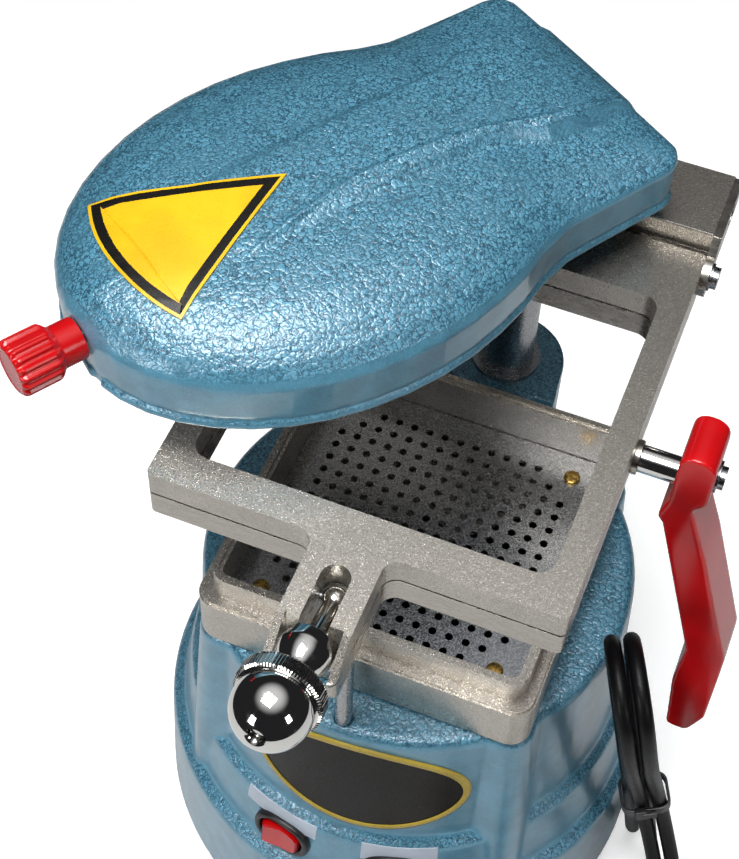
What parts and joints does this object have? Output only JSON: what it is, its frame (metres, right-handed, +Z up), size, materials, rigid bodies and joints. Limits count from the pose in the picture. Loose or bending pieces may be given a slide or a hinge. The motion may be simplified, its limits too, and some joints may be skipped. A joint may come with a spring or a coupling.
{
  "type": "dental vacuum former",
  "caption": "Cast body with a perforated vacuum tray, a film frame that slides on a rear column, a swing-bolt clamp and a swivelling heater head.",
  "frame": {"origin": "body axis on the table, under the middle of the drum", "axes": "+Z up, -Y the operator's side, +X the pull handle's side"},
  "size_m": [0.2814, 0.3188, 0.324],
  "materials": {
    "hammertone_enamel": "blue hammertone stove enamel on cast aluminium",
    "nickel_plate": "satin nickel plate on cast alloy",
    "chrome": "bright chrome plate on turned steel",
    "stainless": "plain stainless sheet",
    "zinc_steel": "zinc plated steel",
    "brass": "yellow passivated brass screws",
    "bronze": "sintered bronze",
    "cast_hub": "turned aluminium",
    "motor_grey": "laminated steel and painted end shields",
    "element_steel": "heat darkened tubular element",
    "red_plastic": "glossy red moulded plastic",
    "red_rocker": "translucent red rocker",
    "black_plastic": "black moulded plastic",
    "name_plate_black": "black plate with a gold rim, left blank",
    "black_rubber": "black rubber and cable sheath",
    "white_plastic": "white nylon and heat-proof sleeve"
  },
  "bodies": {
    "base": {"body_housing": "hammertone_enamel", "bottom_cover": "zinc_steel", "rubber_feet": "black_rubber", "cover_screws": "zinc_steel", "motor_gasket": "black_rubber", "fan_casing": "zinc_steel", "motor": "motor_grey", "motor_bridge": "zinc_steel", "motor_studs": "zinc_steel", "tray": "nickel_plate", "tray_gasket": "black_rubber", "tray_screws": "zinc_steel", "perforated_plate": "stainless", "plate_screws": "brass", "column": "chrome", "column_set_screw": "zinc_steel", "column_ring": "black_rubber", "thrust_washer": "white_plastic", "retaining_ring": "zinc_steel", "heater_lead": "white_plastic", "name_plate": "name_plate_black", "switch_cases": "black_plastic", "strain_relief": "black_rubber", "lead_run": "black_rubber", "lead_hank": "black_rubber", "lead_end": "black_rubber", "hank_tie": "black_plastic", "mains_plug": "black_plastic"},
    "carriage": {"carriage_block": "nickel_plate", "carriage_bush": "bronze", "detent_ball": "chrome", "detent_spring": "zinc_steel", "detent_screw": "zinc_steel", "hinge_ear_right": "nickel_plate", "hinge_ear_left": "nickel_plate", "ear_screws": "zinc_steel", "hinge_screws": "zinc_steel", "frame_screws": "zinc_steel", "lower_frame": "nickel_plate", "guide_rod": "chrome", "clamp_pin": "chrome", "handle_stud": "chrome", "handle_collar": "black_rubber", "pull_handle": "red_plastic", "handle_screw": "zinc_steel"},
    "clamp_frame": {"upper_frame": "nickel_plate"},
    "clamp_bolt": {"swing_bolt": "chrome", "clamp_saddle": "chrome"},
    "clamp_knob": {"knurled_ring": "chrome", "ball_knob": "chrome"},
    "heater_head": {"head_shell": "hammertone_enamel", "head_hub": "cast_hub", "hub_screws": "zinc_steel", "reflector_plate": "stainless", "reflector_screws": "zinc_steel", "heating_element": "element_steel", "heater_knob": "red_plastic", "knob_stud": "zinc_steel"},
    "left_rocker": {"rocker_left": "red_rocker"},
    "right_rocker": {"rocker_right": "red_rocker"}
  },
  "joints": [
    {"name": "carriage_slide", "type": "slide", "parent": "base", "child": "carriage", "axis": [0, 0, 1], "range_m": [-0.066, 0]},
    {"name": "frame_open", "type": "hinge", "parent": "carriage", "child": "clamp_frame", "pos_m": [0, 0.0795, 0.265], "axis": [-1, 0, 0], "range_deg": [0, 5]},
    {"name": "bolt_swing", "type": "hinge", "parent": "carriage", "child": "clamp_bolt", "pos_m": [0, -0.088, 0.257], "axis": [1, 0, 0], "range_deg": [0, 60]},
    {"name": "knob_turn", "type": "hinge", "parent": "clamp_bolt", "child": "clamp_knob", "pos_m": [0, -0.13606, 0.27078], "axis": [0, -0.9613, 0.2756], "range_deg": [0, 360]},
    {"name": "heater_swivel", "type": "hinge", "parent": "base", "child": "heater_head", "pos_m": [0, 0.1, 0.285], "axis": [0, 0, 1], "range_deg": [-105, 33]},
    {"name": "left_switch", "type": "hinge", "parent": "base", "child": "left_rocker", "pos_m": [-0.01854, -0.08876, 0.0723], "axis": [-0.027, -0.1294, -0.9912], "range_deg": [0, 16]},
    {"name": "right_switch", "type": "hinge", "parent": "base", "child": "right_rocker", "pos_m": [0.02651, -0.08672, 0.0723], "axis": [0.0386, -0.1264, -0.9912], "range_deg": [0, 16]}
  ],
  "couplings": [
    {"joint": "bolt_swing", "follows": "frame_open", "ratio": 12}
  ]
}
